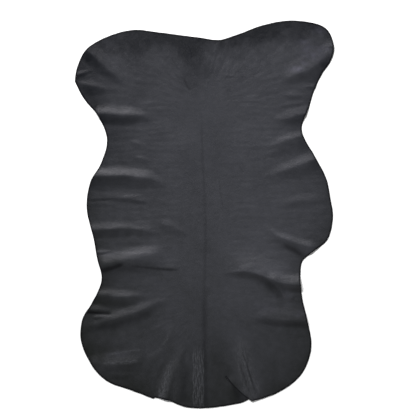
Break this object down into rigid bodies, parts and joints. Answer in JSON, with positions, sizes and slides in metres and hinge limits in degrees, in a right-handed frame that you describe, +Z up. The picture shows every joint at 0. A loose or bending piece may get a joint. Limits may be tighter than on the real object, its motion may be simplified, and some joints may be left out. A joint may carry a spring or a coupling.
{
  "type": "leather hide",
  "caption": "Whole tanned hide lying flat, grain side up: one uneven leather sheet with foreleg, belly and rump lobes, soft edge folds and a slit by the tail.",
  "frame": {"origin": "on the ground under the middle of the outline's box", "axes": "+X to the hide's right seen from above, +Y along the spine towards the neck, +Z up out of the grain side"},
  "size_m": [0.702, 1.05, 0.0092],
  "materials": {
    "black_nappa": "soft matt black nappa with a fine pebbled grain, a low sheen on the folds, and a charcoal suede flesh side"
  },
  "bodies": {
    "root": {"hide": "black_nappa"}
  },
  "joints": []
}
